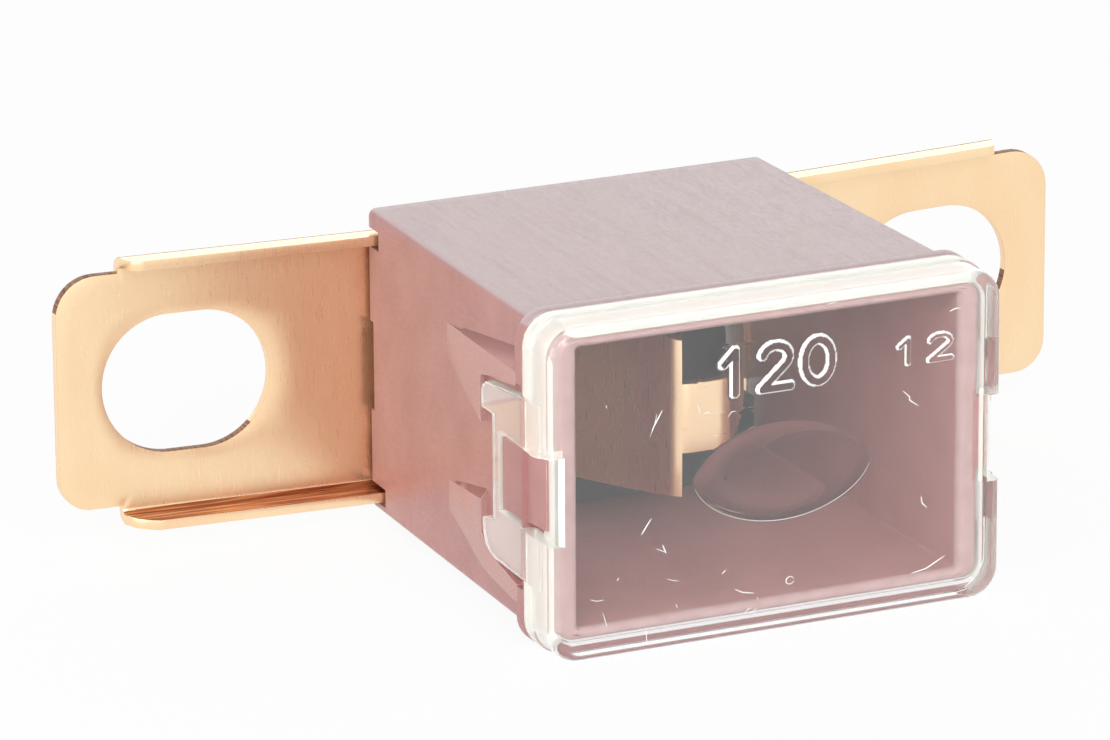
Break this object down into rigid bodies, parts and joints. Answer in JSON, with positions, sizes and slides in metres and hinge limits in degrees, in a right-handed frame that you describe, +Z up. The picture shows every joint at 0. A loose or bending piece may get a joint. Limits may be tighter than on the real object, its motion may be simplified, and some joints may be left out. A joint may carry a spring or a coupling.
{
  "type": "bolt-in main fuse",
  "caption": "Bolt-in main fuse: a copper strip with slotted tabs and folded lips arches through a moulded housing behind a clear clip-on window.",
  "frame": {"origin": "under the middle of the bounding box, on the surface that the part stands on", "axes": "+X runs along the tabs, the window faces -Y, and +Z is up"},
  "size_m": [0.05, 0.0226, 0.0153],
  "materials": {
    "copper_strip": "bright rolled copper with a fine grain across the strip",
    "plum_moulding": "satin moulded plastic",
    "slate_moulding": "satin moulded plastic",
    "clear_moulding": "clear polished plastic with fine handling scratches"
  },
  "bodies": {
    "root": {"housing": "plum_moulding", "window_cover": "clear_moulding", "fuse_element": "copper_strip", "base_plug": "slate_moulding"}
  },
  "joints": []
}
